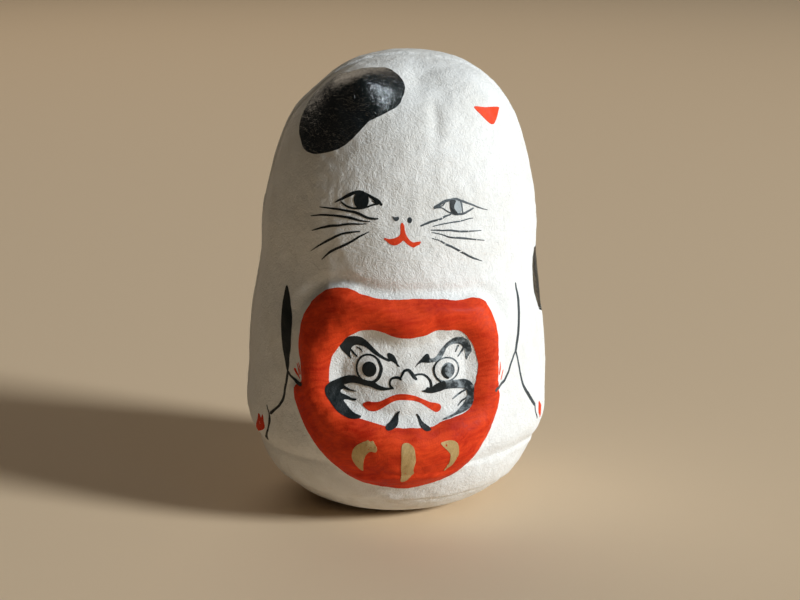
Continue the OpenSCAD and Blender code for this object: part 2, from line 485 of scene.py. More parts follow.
def torn(across, along, seed):
    """How high a strip stands, from the distance to its edge and the way along it."""
    ragged = dents(np.column_stack([along, along * 0 + seed, along * 0]), 1.7)
    return ease(0, TEAR, across + 0.5 * ragged - 0.2)


def strip_lift(top, edge, along, across, seed):
    """How far a strip's torn upper side or its sunken under side is from the skin."""
    if not top:
        return -SUNK - edge * UNDER_SLOPE
    return STRIP * torn(edge, along + across * 0 + np.sign(across) * 40, seed) - SUNK


def strip(name, rows_at, node):
    """A strip from a function that gives the rows of its upper or its under side."""
    piece = paper(name, rows_at(True), rows_at(False))
    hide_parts(node)


# %% Strips up the sides
BODY_R = 30


def side_strip(name, turn, node):
    """A strip up one side. Across it the way is an angle, which the radius makes a length."""
    reach = strip_half / (belly[0] * wide_scale)
    across = np.linspace(-reach, reach, 29)
    edge = (reach - np.abs(across)) * BODY_R

    def rows_at(top):
        rows = []
        for s in np.linspace(s_at(ROUND_TOP) - 0.5, side_top_s + 1.5, 210):
            rows.append(skin(s, turn + across, strip_lift(top, edge, s, across, turn)))
        return rows

    strip(name, rows_at, node)


side_strip("left_strip", -QUARTER, "left_seam_strip")
side_strip("right_strip", QUARTER, "right_seam_strip")


# %% Strip over the crown
def crown_rows(top):
    """Rows of the crown strip, from the left side over to the right."""
    head_s = np.linspace(s_at(66), crown_s, 400)
    head_r = np.interp(head_s, side_s, side_r)
    reach = crown_s - side_top_s
    rows = []
    for way in np.linspace(-reach, reach, 150):
        x = math.copysign(np.interp(crown_s - abs(way), head_s, head_r), way)
        across = np.linspace(-strip_half, strip_half, 27)
        r = np.hypot(x, across / HEAD_DEPTH)
        s = np.interp(-r, -head_r, head_s)
        edge = np.minimum(strip_half - np.abs(across), reach - abs(way) + across * 0)
        angle = np.arctan2(x, -across / HEAD_DEPTH)
        rows.append(skin(s, angle, strip_lift(top, edge, way, across, 9)))
    return rows


strip("crown_strip", crown_rows, "crown_seam_strip")


# %% Strip round the joint with the dish
RING = (5.5, 16.2)
RING_R = 31
RING_RISE = 0.42


def ring_rows(top):
    """Rows of the strip round the dish, from its lower to its upper edge."""
    low, high = s_at(RING[0]), s_at(RING[1])
    around = np.linspace(0, 4 * QUARTER, 511 if top else 103)
    rows = []
    for s in np.linspace(low, high, 41 if top else 6):
        edge = min(s - low, high - s) + 0 * around
        ring = np.column_stack([RING_R * np.sin(around), RING_R * np.cos(around), around * 0])
        ragged = dents(ring + 50, 5) * 1.2 - 0.5
        rise = RING_RISE * ease(0, 3 * TEAR, edge + ragged) - SUNK
        under = -0.08 - 0.3 * (edge > 0)
        rows.append(skin(s, around, rise if top else under))
    return rows


strip("dish_strip", ring_rows, "base_joint_strip")

# %% [markdown]
# ## Paint as thin films
# A painted line stays sharp from any distance if it is a piece of its own. Each mark is
# drawn flat, in millimetres, on an upright sheet of card that faces the doll. The sheet
# is turned and tilted to face the place that is painted. The mark is cut into small
# triangles and pressed straight onto the doll, where it becomes a film as thin as paint.

# %% Brush marks
def blob(points, step=0.25):
    """The closed outline of a dab of paint."""
    return smooth(points, step, closed=True)


def wavering(loop, amount, seed):
    """The same outline with the small tremble of a hand."""
    shake = [dents(np.column_stack([loop, loop[:, 0] * 0 + seed + k]), 0.9) for k in (0, 9)]
    return loop + amount * 2 * np.column_stack(shake)


def stroke(points, widths, step=0.2, tremble=0.045):
    """The outline of a brush stroke along the points, with its widths from end to end."""
    line = smooth(points, step)
    way = np.r_[0, np.cumsum(np.hypot(*np.diff(line, axis=0).T))]
    half = np.interp(way / way[-1], np.linspace(0, 1, len(widths)), widths) / 2
    ahead = np.gradient(line, axis=0)
    ahead /= np.linalg.norm(ahead, axis=1)[:, None]
    across = np.column_stack([-ahead[:, 1], ahead[:, 0]])

    def cap(middle, half_w, forward, sideways):
        turn = np.linspace(0, math.pi, max(3, int(half_w * 12)))[1:-1, None]
        return middle + half_w * (np.cos(turn) * sideways + np.sin(turn) * forward)

    left = line + across * half[:, None]
    right = line - across * half[:, None]
    end = cap(line[-1], half[-1], ahead[-1], across[-1])
    start = cap(line[0], half[0], -ahead[0], -across[0])
    loop = np.vstack([left, end, right[::-1], start])
    return wavering(loop, tremble, points[0][0] + 3 * points[0][1])


def oval(middle, rx, rz):
    """The outline of an upright oval."""
    t = np.linspace(0, 2 * math.pi, max(16, int(rx * 24)), endpoint=False)
    return np.column_stack([middle[0] + rx * np.cos(t), middle[1] + rz * np.sin(t)])


# %% Cutting a mark into triangles
def covered(points, marks):
    """True where a point lies in a mark. A mark is an outline and a list of its holes."""
    found = np.zeros(len(points), bool)
    for loop, holes in marks:
        within = inside(points, loop)
        for hole in holes:
            within &= ~inside(points, hole)
        found |= within
    return found


def cut_marks(marks, grain):
    """Flat points and triangles that fill the marks."""
    loops = [loop for mark, holes in marks for loop in [mark, *holes]]
    border = np.vstack(loops)
    starts = np.cumsum([0] + [len(loop) for loop in loops])
    edges = [(int(a + i), int(a + (i + 1) % (b - a)))
             for a, b in zip(starts, starts[1:]) for i in range(b - a)]
    # Rows of equal-sided triangles lie 0.87 of a side apart.
    low, high = border.min(axis=0), border.max(axis=0)
    xs = np.arange(low[0], high[0] + grain, grain)
    zs = np.arange(low[1], high[1] + grain, grain * 0.87)
    grid = np.array([(x + (k % 2) * grain / 2, z) for k, z in enumerate(zs) for x in xs])
    grid = grid[covered(grid, marks)]
    clear = np.ones(len(grid), bool)
    for loop in loops:
        clear &= np.abs(depth_inside(grid, loop)) > grain * 0.45
    points = np.vstack([border, grid[clear]])
    flat_points, _, faces, *_ = delaunay_2d_cdt([Vector(p) for p in points], edges, [], 0, 1e-5)
    flat_points = np.array([tuple(p) for p in flat_points])
    faces = np.array([tuple(f) for f in faces])
    return flat_points, faces[covered(flat_points[faces].mean(axis=1), marks)]


# %% The doll under the paint
starts = np.cumsum([0] + [len(points) for points, faces in outer_skins])
all_points = np.vstack([points for points, faces in outer_skins])
all_faces = np.vstack([faces + a for (_, faces), a in zip(outer_skins, starts)])
doll = BVHTree.FromPolygons(all_points.tolist(), all_faces.tolist())
print("marks are pressed onto", len(all_faces), "triangles")

# %% Pressing a mark onto the doll
FILM = 0.05
FILM_SUNK = 0.04
SHEET_AWAY = 80
MISSED = (np.nan, np.nan, np.nan)


def press(flat_points, turn, tilt, height, lift):
    """The upper and the under side of a film, where a turned and tilted sheet meets the doll."""
    turn, tilt = math.radians(turn), math.radians(tilt)
    out = np.array([math.sin(turn) * math.cos(tilt), -math.cos(turn) * math.cos(tilt),
                    math.sin(tilt)])
    right = np.array([math.cos(turn), math.sin(turn), 0])
    up = np.cross(out, right)
    top, under = [], []
    for u, v in flat_points:
        start = np.array([0, 0, height]) + u * right + v * up + SHEET_AWAY * out
        hit, normal, _, _ = doll.ray_cast(Vector(start), Vector(-out))
        if hit is None:
            top.append(MISSED)
            under.append(MISSED)
            continue
        normal = normal if normal.dot(Vector(out)) > 0 else -normal
        top.append(hit + normal * lift)
        under.append(hit - normal * FILM_SUNK)
    return np.array(top, float), np.array(under, float)


# %% Films of paint
def closed_film(top, under, faces):
    """A closed solid from the two sides, without the triangles that missed the doll."""
    faces = faces[~np.isnan(top[faces]).any(axis=(1, 2))]
    used, faces = np.unique(faces, return_inverse=True)
    faces = faces.reshape(-1, 3)
    count = len(used)
    edges = np.vstack([faces[:, [0, 1]], faces[:, [1, 2]], faces[:, [2, 0]]])
    key = np.sort(edges, axis=1)
    _, first, seen = np.unique(key, axis=0, return_index=True, return_counts=True)
    a, b = edges[first[seen == 1]].T
    rim = np.vstack([np.column_stack([b, a, a + count]),
                     np.column_stack([b, a + count, b + count])])
    return np.vstack([top[used], under[used]]), np.vstack([faces, faces[:, ::-1] + count, rim])


def film(name, marks, slot, turn=0, tilt=0, height=0, grain=0.2, lift=FILM, dry=0.0):
    """A film of paint from marks drawn on a sheet that is turned and tilted in degrees.
    A dry brush leaves out some of the triangles."""
    marks = [mark if isinstance(mark, tuple) else (mark, []) for mark in marks]
    flat_points, faces = cut_marks(marks, grain)
    if dry:
        middles = flat_points[faces].mean(axis=1)
        spots = dents(np.column_stack([middles, middles[:, 0] * 0]), 0.45)
        faces = faces[spots > dry - 0.5]
    top, under = press(flat_points, turn, tilt, height, lift)
    piece = add_piece(name, [closed_film(top, under, faces)], weld=False)
    return piece


# %% [markdown]
# ## Finishes
# Every colour on the doll lies on the same fibrous paper, so the paper's texture is a
# node group that all the finishes share. Long thin noise, turned four ways, gives
# raised fibres, and rounder noise gives the grain of the shell powder. A second group
# gives the streaks that a brush leaves, and a third the patches of age and handling.

# %% Node helpers
def feed(tree, socket, value):
    """Gives an input its value, or links it to the output that makes the value."""
    if isinstance(value, bpy.types.NodeSocket):
        tree.links.new(value, socket)
    else:
        socket.default_value = value


def put(tree, kind, settings=None, **inputs):
    """A new node with its settings and its inputs, by name or, after a low line, by number."""
    item = tree.nodes.new(kind)
    for name, value in (settings or {}).items():
        setattr(item, name, value)
    for name, value in inputs.items():
        key = int(name[1:]) if name[0] == "_" else name.replace("_", " ")
        feed(tree, item.inputs[key], value)
    return item


def new_group(name, inputs, outputs):
    """An empty shader group with float inputs and outputs, and its two end nodes."""
    tree = bpy.data.node_groups.new(name, "ShaderNodeTree")
    for label, value in inputs.items():
        socket = tree.interface.new_socket(label, in_out="INPUT", socket_type="NodeSocketFloat")
        socket.default_value = value
    for label in outputs:
        tree.interface.new_socket(label, in_out="OUTPUT", socket_type="NodeSocketFloat")
    return tree, tree.nodes.new("NodeGroupInput"), tree.nodes.new("NodeGroupOutput")


def place_mm(tree):
    """The place on the doll in millimetres."""
    spot = put(tree, "ShaderNodeTexCoord")
    return put(tree, "ShaderNodeVectorMath", {"operation": "SCALE"},
               _0=spot.outputs["Object"], Scale=1 / MM).outputs[0]


def noise(tree, where, scale, detail=2.0, rough=0.5):
    """Soft random values, with a scale in cells per millimetre."""
    return put(tree, "ShaderNodeTexNoise", Vector=where, Scale=scale, Detail=detail,
               Roughness=rough)


def spread(tree, value, low, high, to_low=0.0, to_high=1.0):
    """Stretches a value from low..high to another range and holds it there."""
    return put(tree, "ShaderNodeMapRange", {"interpolation_type": "SMOOTHSTEP"}, Value=value,
               From_Min=low, From_Max=high, To_Min=to_low, To_Max=to_high).outputs[0]


def maths(tree, what, *values, kind="ShaderNodeMath"):
    """The result of one sum, such as ADD or MULTIPLY, from numbers or sockets."""
    inputs = {f"_{place}": value for place, value in enumerate(values)}
    return put(tree, kind, {"operation": what}, **inputs).outputs[0]


def vector_maths(tree, what, *values):
    """The same for places and colours, which have three parts."""
    return maths(tree, what, *values, kind="ShaderNodeVectorMath")


# %% Fibres of washi under shell powder
def washi_group():
    """Raised fibres that lie in four directions, with powder between them."""
    tree, given, result = new_group("washi fibres", {"Length": 3.4, "Width": 1.1}, ["Height"])
    here = place_mm(tree)
    bends = noise(tree, here, 0.3, 2).outputs["Color"]
    curl = vector_maths(tree, "MULTIPLY_ADD", bends, (3, 3, 3), here)
    along = maths(tree, "DIVIDE", 1.0, given.outputs["Length"])
    thin = maths(tree, "DIVIDE", 1.0, given.outputs["Width"])
    squash = put(tree, "ShaderNodeCombineXYZ", X=along, Y=thin, Z=thin)
    tallest = None
    for k in range(4):
        turned = put(tree, "ShaderNodeVectorRotate", {"rotation_type": "AXIS_ANGLE"},
                     Vector=curl, Axis=(0.25, 1.0, 0.1), Angle=math.radians(12 + 47 * k))
        pulled = vector_maths(tree, "MULTIPLY", turned.outputs[0], squash.outputs[0])
        value = noise(tree, pulled, 1.0, 1).outputs[0]
        off = maths(tree, "ABSOLUTE", maths(tree, "SUBTRACT", value, 0.5))
        ridge = spread(tree, off, 0.0, 0.055, 1.0, 0.0)
        tallest = ridge if tallest is None else maths(tree, "MAXIMUM", tallest, ridge)
    powder = noise(tree, here, 1.7, 4, 0.62).outputs[0]
    tree.links.new(maths(tree, "MULTIPLY_ADD", tallest, 0.3, powder), result.inputs[0])
    return tree


# %% Brush streaks
def streak_group():
    """Long soft streaks, as the hairs of a brush leave them."""
    tree, given, result = new_group("brush streaks", {"Angle": 0.0, "Length": 6.0}, ["Streak"])
    here = place_mm(tree)
    bends = noise(tree, here, 0.12, 1).outputs["Color"]
    sway = vector_maths(tree, "MULTIPLY_ADD", bends, (5, 5, 5), here)
    turned = put(tree, "ShaderNodeVectorRotate", {"rotation_type": "Y_AXIS"},
                 Vector=sway, Angle=given.outputs["Angle"])
    along = maths(tree, "DIVIDE", 1.0, given.outputs["Length"])
    squash = put(tree, "ShaderNodeCombineXYZ", X=along, Y=1.0, Z=1.3)
    pulled = vector_maths(tree, "MULTIPLY", turned.outputs[0], squash.outputs[0])
    value = noise(tree, pulled, 1.1, 3, 0.6).outputs[0]
    tree.links.new(spread(tree, value, 0.3, 0.7), result.inputs[0])
    return tree


# %% Age and handling
def age_group():
    """Faint clouds and specks everywhere, and soil that fades out upwards."""
    tree, given, result = new_group("age and handling", {"Low end": 4.0, "High end": 16.0},
                                    ["Clouds", "Specks", "Soil"])
    here = place_mm(tree)
    clouds = spread(tree, noise(tree, here, 0.09, 3, 0.6).outputs[0], 0.35, 0.68)
    specks = spread(tree, noise(tree, here, 1.1, 2, 0.7).outputs[0], 0.68, 0.78)
    height = put(tree, "ShaderNodeSeparateXYZ", Vector=here).outputs[2]
    low = spread(tree, height, given.outputs["Low end"], given.outputs["High end"], 1.0, 0.0)
    blotch = spread(tree, noise(tree, here, 0.25, 4, 0.65).outputs[0], 0.38, 0.7)
    soil = maths(tree, "MULTIPLY", low, blotch)
    for socket, value in zip(result.inputs, (clouds, specks, soil)):
        tree.links.new(value, socket)
    return tree


washi = washi_group()
streaks = streak_group()
age = age_group()
print("shared groups:", ", ".join(group.name for group in (washi, streaks, age)))


# %% Putting a finish together
def mixed(tree, share, a, b):
    """A colour between a and b. Each is a colour or a socket."""
    item = put(tree, "ShaderNodeMix", {"data_type": "RGBA"}, _0=share)
    for socket, colour in ((item.inputs[6], a), (item.inputs[7], b)):
        feed(tree, socket, (*colour, 1) if isinstance(colour, tuple) else colour)
    return item.outputs[2]


def use(tree, group, **inputs):
    """The outputs of a shared group, with some of its inputs set."""
    item = put(tree, "ShaderNodeGroup", {"node_tree": group})
    for name, value in inputs.items():
        feed(tree, item.inputs[name.replace("_", " ")], value)
    return item.outputs


def new_finish(name, **constants):
    """A material, its node tree and its Principled shader with the constants set on it."""
    finish = bpy.data.materials.new(name)
    finish.use_nodes = True
    shader = finish.node_tree.nodes["Principled BSDF"]
    for label, value in constants.items():
        shader.inputs[label.replace("_", " ")].default_value = value
    return finish, finish.node_tree, shader


def set_look(tree, shader, colour, rough, height, bump_mm):
    """Feeds the shader with a colour, a roughness and a raised texture."""
    tree.links.new(colour, shader.inputs["Base Color"])
    tree.links.new(rough, shader.inputs["Roughness"])
    bump = put(tree, "ShaderNodeBump", Height=height, Distance=bump_mm * MM, Strength=1.0)
    tree.links.new(bump.outputs[0], shader.inputs["Normal"])


# %% White shell powder over paper
def white_ground(name, soiled):
    """White powder over paper, soiled from the bottom up to a height in millimetres."""
    finish, tree, shader = new_finish(name, Specular_IOR_Level=0.35)
    clouds, specks, soil = use(tree, age, Low_end=2.0, High_end=soiled)
    fibres = use(tree, washi)["Height"]
    white = mixed(tree, clouds, (0.87, 0.87, 0.855), (0.81, 0.80, 0.77))
    white = mixed(tree, maths(tree, "MULTIPLY", specks, 0.25), white, (0.55, 0.52, 0.46))
    white = mixed(tree, maths(tree, "MULTIPLY", soil, 0.35), white, (0.60, 0.53, 0.43))
    rough = spread(tree, clouds, 0, 1, 0.78, 0.9)
    set_look(tree, shader, white, rough, fibres, 0.15)
    return finish


white = white_ground("white shell powder", 16.0)
white_below = white_ground("handled white", 30.0)


# %% Paints
def brushed_paint(name, thin, full, rough_low, rough_high, angle, bump_mm=0.05, pooled=False,
                  **constants):
    """Paint laid on by brush: thin and full colour in streaks, over the same fibres.
    Watered ink is pooled instead, and dries in small blots."""
    finish, tree, shader = new_finish(name, **constants)
    streak = use(tree, streaks, Angle=angle)["Streak"]
    clouds = use(tree, age)["Clouds"]
    fibres = use(tree, washi)["Height"]
    if pooled:
        share = spread(tree, noise(tree, place_mm(tree), 0.7, 4, 0.62).outputs[0], 0.42, 0.74)
    else:
        share = maths(tree, "MULTIPLY_ADD", streak, 0.45, maths(tree, "MULTIPLY", clouds, 0.55))
    colour = mixed(tree, share, full, thin)
    rough = spread(tree, streak, 0, 1, rough_low, rough_high)
    height = maths(tree, "MULTIPLY_ADD", streak, 0.25, fibres)
    set_look(tree, shader, colour, rough, height, bump_mm)
    return finish


vermilion = brushed_paint("vermilion", (0.90, 0.075, 0.014), (0.50, 0.018, 0.003), 0.5, 0.7,
                          0.2, Specular_IOR_Level=0.16)
light_red = brushed_paint("light red", (0.90, 0.09, 0.025), (0.76, 0.045, 0.010), 0.5, 0.65,
                          1.2, Specular_IOR_Level=0.2)
ink = brushed_paint("blue-black ink", (0.013, 0.018, 0.020), (0.005, 0.009, 0.010), 0.35, 0.55,
                    0.9, Specular_IOR_Level=0.3)
gloss_ink = brushed_paint("glossy ink", (0.016, 0.018, 0.018), (0.004, 0.008, 0.010), 0.15, 0.25,
                          0.9, 0.10, Specular_IOR_Level=1.0, IOR=1.65)
thin_ink = brushed_paint("thin ink", (0.075, 0.095, 0.11), (0.02, 0.027, 0.033), 0.4, 0.6,
                         0.2, Specular_IOR_Level=0.5)
# Grey watered ink, pooled, for the marks on the daruma's right side. On its right pupil the same
# grey is a painted highlight.
grey_ink_and_highlight = brushed_paint("grey ink and painted highlight", (0.36, 0.41, 0.44), (0.020, 0.028, 0.033), 0.45, 0.65,
                         0.5, pooled=True, Specular_IOR_Level=0.4)
# Pale grey-blue ink: a painted reflection of light on glossy ink, used for the cat's right iris.
painted_reflection_ink = brushed_paint("ink with painted reflection", (0.50, 0.54, 0.56), (0.30, 0.35, 0.38), 0.5, 0.7,
                         0.2, Specular_IOR_Level=0.4)
gold = brushed_paint("gold paint", (0.66, 0.47, 0.22), (0.44, 0.29, 0.10), 0.42, 0.55,
                     1.4, Metallic=0.2)
print(len(bpy.data.materials), "finishes")

# %% Giving pieces their finish
SLOTS = {"vermilion": "red_paint", "light red": "red_paint", "gold paint": "gold_paint"}


def wear(finish, *pieces):
    """Covers whole pieces with one finish."""
    for piece in pieces:
        piece.data.materials.clear()
        piece.data.materials.append(finish)


def paint(finish, name, marks, *where, **how):
    """A film of paint that wears its finish."""
    wear(finish, film(name, marks, SLOTS.get(finish.name, "black_ink"), *where, **how))


white_pieces = [piece for piece in scene.objects if piece.name.endswith(("_half", "_strip"))]
wear(white, *white_pieces)
wear(white_below, dish)
print(len(white_pieces) + 1, "pieces are white")

# %% [markdown]
# ## The cat's face
# The eyes, nose, mouth and whiskers are a few strokes each. The painter's brush ran dry
# on the whiskers of one side, so those marks lose some of their triangles.

# %% Black patch over one ear
patch = blob([(2.5, -0.7), (4.8, 0.4), (7.4, -0.3), (9.7, -1.8), (11, -3.6), (11.7, -6.2),
              (11.6, -8.4), (10.1, -10.8), (8.4, -12.8), (7.4, -13.7), (6.3, -15.9),
              (4.6, -18.3), (2.2, -20.3), (-0.8, -21.4), (-3.9, -21.8), (-6.8, -20.8),
              (-8.9, -18.4), (-10.3, -16.1), (-10.9, -13.5), (-11, -11), (-11, -8.3),
              (-9.9, -5.7), (-7.4, -4), (-4.6, -3), (-1.7, -2.7), (0.4, -1.9)])
paint(gloss_ink, "ear_patch", [wavering(patch, 0.06, 3)], -35, 40, 88, 0.3)
ear = blob([(0.9, -10), (4, -10.6), (8, -10.8), (7.8, -11.5), (5.4, -14), (4.2, -14.3),
            (3, -13.5), (1.7, -11.8)])
paint(light_red, "inner_ear", [ear], 45, 30, 88, 0.25)

# %% Eyes of the cat
left_eye = [
    stroke([(-12.4, 70.7), (-10.9, 71.6), (-9.2, 72.6), (-7.8, 73.2), (-6.7, 73.2), (-5.5, 72.7),
            (-4.3, 72), (-3.2, 71.4), (-2.7, 70.8)],
           [0.17, 0.48, 0.62, 0.67, 0.54, 0.54, 0.62, 0.83, 0.52]),
    stroke([(-11.1, 71), (-10.1, 70.3), (-8.8, 69.9), (-7.4, 69.9), (-5.9, 70.2), (-4.7, 70.7),
            (-3.4, 71)], [0.31, 0.42, 0.42, 0.42, 0.33, 0.42, 0.5]),
    stroke([(-4.6, 71.5), (-3.6, 71)], [0.21, 0.38]),
    oval((-6.9, 71.6), 1.58, 1.85)]
paint(ink, "left_eye", left_eye)
# The right iris is a pale disc that stands for light reflected off glossy ink: a painted
# reflection. The dark crescent beside it is the ink itself.
paint(painted_reflection_ink, "right_iris_painted_reflection", [oval((12.8, 70), 1.29, 1.59)])
right_eye = [
    stroke([(8.3, 70.1), (9.1, 70.6), (10, 71.1), (11, 71.4), (12.5, 71.6), (13.7, 71.2),
            (15.2, 70.5), (16.7, 69.8), (18.2, 69.1), (19.3, 68.6)],
           [0.67, 0.54, 0.62, 0.46, 0.42, 0.42, 0.35, 0.29, 0.23, 0.12]),
    stroke([(8.9, 70.3), (9.8, 70.4), (10.4, 71)], [0.29, 0.25, 0.21]),
    stroke([(8.5, 70.1), (9.6, 70), (10.6, 69.4), (11.4, 68.9), (12.7, 68.5), (14.2, 68.5),
            (15.2, 68.9), (16.3, 69.4)], [0.33, 0.23, 0.23, 0.29, 0.46, 0.46, 0.42, 0.29]),
    stroke([(13.6, 71.1), (13.9, 70.1), (14.1, 68.7)], [0.25, 0.23, 0.25])]
paint(thin_ink, "right_eye", right_eye, grain=0.15, lift=0.08)
crescent = [
    blob([(11.4, 71.4), (12.2, 71.4), (12.7, 71.2), (12.4, 70.6), (12.3, 69.8), (12.8, 69),
          (13.1, 68.5), (12.5, 68.4), (11.7, 69), (11.4, 70.2)])]
paint(ink, "right_pupil", crescent, lift=0.09)

# %% Nose and mouth of the cat
nose_dots = [
    blob([(-0.5, 68.5), (0, 68.3), (0.8, 68.4), (0.9, 67.9), (0.4, 67.5), (-0.1, 67.7),
          (-0.3, 68)]),
    oval((3.1, 67.7), 0.48, 0.62)]
paint(thin_ink, "nose_dots", nose_dots)
mouth = blob([(1.2, 66.7), (1.5, 67.2), (1.9, 66.8), (2.1, 65.7), (2.4, 64.7), (3, 63.8),
              (3.8, 63.2), (4.6, 63.3), (5.4, 63.3), (5.1, 62.7), (4.4, 62.4), (3.9, 62.1),
              (3.1, 62.5), (2.3, 63.1), (1.8, 63.6), (1.2, 63.1), (0.5, 62.7), (-0.3, 62.6),
              (-1.2, 63), (-1.7, 63.5), (-2.2, 63.8), (-2, 64.1), (-1.2, 63.9), (-0.3, 64),
              (0.5, 64.3), (1.1, 64.8), (1.2, 65.7)])
paint(light_red, "cat_mouth", [mouth])

# %% Whiskers
left_whiskers = [
    stroke([(-15.6, 69.5), (-13.4, 69.4), (-11.3, 69.4), (-9.2, 69.2), (-7.6, 68.9),
            (-5.9, 68.2), (-4.5, 67.9), (-3.4, 68)],
           [0.17, 0.33, 0.42, 0.48, 0.54, 0.54, 0.54, 0.31]),
    stroke([(-17.5, 67.4), (-15.6, 67.8), (-13.4, 68), (-10.9, 68), (-8.8, 67.8), (-6.7, 67.4),
            (-5.1, 67.3)], [0.17, 0.38, 0.42, 0.5, 0.54, 0.42, 0.17]),
    stroke([(-17.3, 64.4), (-15.6, 65.1), (-13.4, 65.8), (-11.3, 66.2), (-9.2, 66.6),
            (-7.6, 66.7), (-5.9, 66.8)], [0.17, 0.42, 0.54, 0.48, 0.42, 0.38, 0.17]),
    stroke([(-17.6, 60), (-15.6, 61.6), (-13.5, 63), (-11.3, 64.3), (-9.2, 64.9), (-7.2, 65.2)],
           [0.12, 0.33, 0.48, 0.44, 0.42, 0.25]),
    stroke([(-15.2, 58.6), (-13.9, 60), (-12.4, 61.1), (-10.7, 62), (-8.8, 63.1), (-7.2, 64.2),
            (-5.3, 65.2)], [0.17, 0.42, 0.5, 0.5, 0.44, 0.38, 0.17])]
paint(ink, "left_whiskers", left_whiskers)
right_whiskers = [
    stroke([(5.4, 66.5), (6.7, 67), (7.9, 67.4), (9.4, 67.7), (10.4, 68.2), (11.6, 68.5)],
           [0.33, 0.46, 0.42, 0.42, 0.42, 0.29]),
    stroke([(7.9, 66.3), (10, 66.7), (11.6, 66.9), (13.5, 67), (15.4, 67.3), (16.3, 67.4)],
           [0.17, 0.25, 0.25, 0.31, 0.25, 0.17]),
    stroke([(7.5, 65.6), (9.6, 65.4), (11.4, 65.3), (13.1, 65), (14.8, 64.8), (16.5, 64.7),
            (18, 64.6)], [0.17, 0.31, 0.31, 0.4, 0.4, 0.27, 0.17]),
    stroke([(7.7, 65.1), (9.6, 64.6), (11.4, 63.9), (13.1, 63.6), (14.8, 63.3), (16.5, 62.9),
            (18.7, 62.4)], [0.15, 0.23, 0.31, 0.4, 0.4, 0.25, 0.17]),
    stroke([(7.7, 63.9), (9.4, 63.3), (10.6, 62.5), (12.1, 61.7), (13.6, 60.7), (15.1, 59.7),
            (16.6, 58.8), (18.3, 58)], [0.15, 0.25, 0.46, 0.42, 0.42, 0.4, 0.35, 0.12])]
paint(thin_ink, "right_whiskers", right_whiskers, grain=0.1, dry=0.12)

# %% [markdown]
# ## The daruma
# The red is laid around the white face, and a wavering edge keeps it hand-made. The
# face is drawn with the same few strokes that folk painters use everywhere: heavy
# brows, ring eyes, a looped nose, and a moustache that sweeps round to the chin.

# %% Red robe
robe = (wavering(daruma_border, 0.12, 5), [wavering(face_border, 0.1, 8)])
paint(vermilion, "red_robe", [robe], grain=0.3, lift=0.06)

# %% Brows of the daruma
brows = [
    blob([(-9.1, 38.6), (-10.2, 39.5), (-11, 40.4), (-11.5, 41.4), (-11.4, 42), (-11.1, 42.6),
          (-10.3, 43.1), (-9.5, 43.5), (-8.2, 43.6), (-7, 43.3), (-6, 42.6), (-5.1, 41.8),
          (-4.1, 40.8), (-3.1, 39.9), (-1.8, 39.1), (-1, 38.8), (-0.7, 38.5), (-1.2, 38.3),
          (-2.2, 38.7), (-3.5, 39.4), (-4.5, 40), (-5.4, 40.7), (-6.2, 41.2), (-7, 41.4),
          (-8.1, 41.5), (-8.9, 41), (-9.1, 40.4), (-9.3, 39.6)]),
    blob([(-1.6, 39.8), (-1.3, 40.1), (-0.8, 40), (-0.1, 39.5), (0.4, 38.6), (0.7, 37.8),
          (1.1, 37.3), (0.6, 37.3), (0.1, 37.9), (-0.7, 38.4), (-1.3, 38.9)]),
    stroke([(-7.9, 41.1), (-7.2, 40.7), (-6.7, 40.2)], [0.25, 0.35, 0.17]),
    stroke([(-9.1, 40.4), (-8.5, 39.7), (-7.8, 39.1)], [0.38, 0.42, 0.25]),
    blob([(4.2, 37.1), (4.8, 38), (5.5, 38.7), (6.1, 39.4), (6.7, 39.8), (7.1, 39.6), (7.3, 39),
          (7.7, 38.5), (8.2, 38.1), (6.9, 37.9), (5.7, 38), (4.8, 37.6)])]
paint(ink, "daruma_brows", brows)
grey_brow = [
    blob([(7.2, 38.8), (8, 38.8), (8.8, 39.3), (9.4, 40.2), (10.1, 41), (10.9, 41.8), (12, 42.5),
          (13, 42.9), (14.1, 42.8), (15.1, 42.3), (15.7, 41.6), (16, 40.6), (16.1, 39.7),
          (15.6, 38.9), (15.3, 38.4), (15, 37.8), (14.8, 38.6), (14.7, 39.7), (14.3, 40.6),
          (13.7, 41.2), (12.8, 41.4), (11.8, 41.3), (10.9, 40.8), (10.4, 39.9), (9.9, 39),
          (9.4, 38.4), (8.2, 38), (7.3, 38.1)]),
    stroke([(13.3, 41), (12.7, 39.8)], [0.38, 0.21]),
    stroke([(14.5, 40.5), (13.9, 39.6), (13.2, 38.7)], [0.38, 0.33, 0.21])]
paint(grey_ink_and_highlight, "grey_brow", grey_brow, lift=0.07)

# %% Eyes and nose of the daruma
def ring(middle, rx, rz, width):
    """An oval with an oval hole that leaves a band of one width."""
    return (oval(middle, rx, rz), [oval(middle, rx - width, rz - width)])


ring_eye = [
    ring((-5.4, 36.8), 2.75, 3.09, 0.4),
    oval((-5.3, 36.7), 1.52, 1.63),
    stroke([(-4.4, 39.5), (-3.4, 38.6), (-2.8, 36.8), (-3.3, 35.1), (-4.1, 34.2)],
           [0.25, 0.55, 0.7, 0.7, 0.6])]
paint(ink, "daruma_eyes", ring_eye)
# The grey oval inside this ring is a painted highlight on the dark pupil. The dark strokes that
# follow are the ink of the pupil.
ring_and_painted_highlight = [ring((10.8, 36.3), 2.71, 2.64, 0.31), oval((11.1, 36.1), 1.42, 1.68)]
paint(grey_ink_and_highlight, "pale_ring_and_painted_highlight", ring_and_painted_highlight)
dark_eye = [
    stroke([(9.4, 38.5), (8.6, 37.8), (8.2, 36.8), (8.3, 35.6), (8.9, 34.5), (9.8, 33.7)],
           [0.17, 0.33, 0.46, 0.46, 0.42, 0.29]),
    stroke([(10.8, 37.3), (10.2, 36.7), (10.1, 35.9), (10.5, 35), (11.2, 34.5)],
           [0.33, 0.62, 0.71, 0.62, 0.42])]
paint(ink, "dark_eye", dark_eye, lift=0.1)
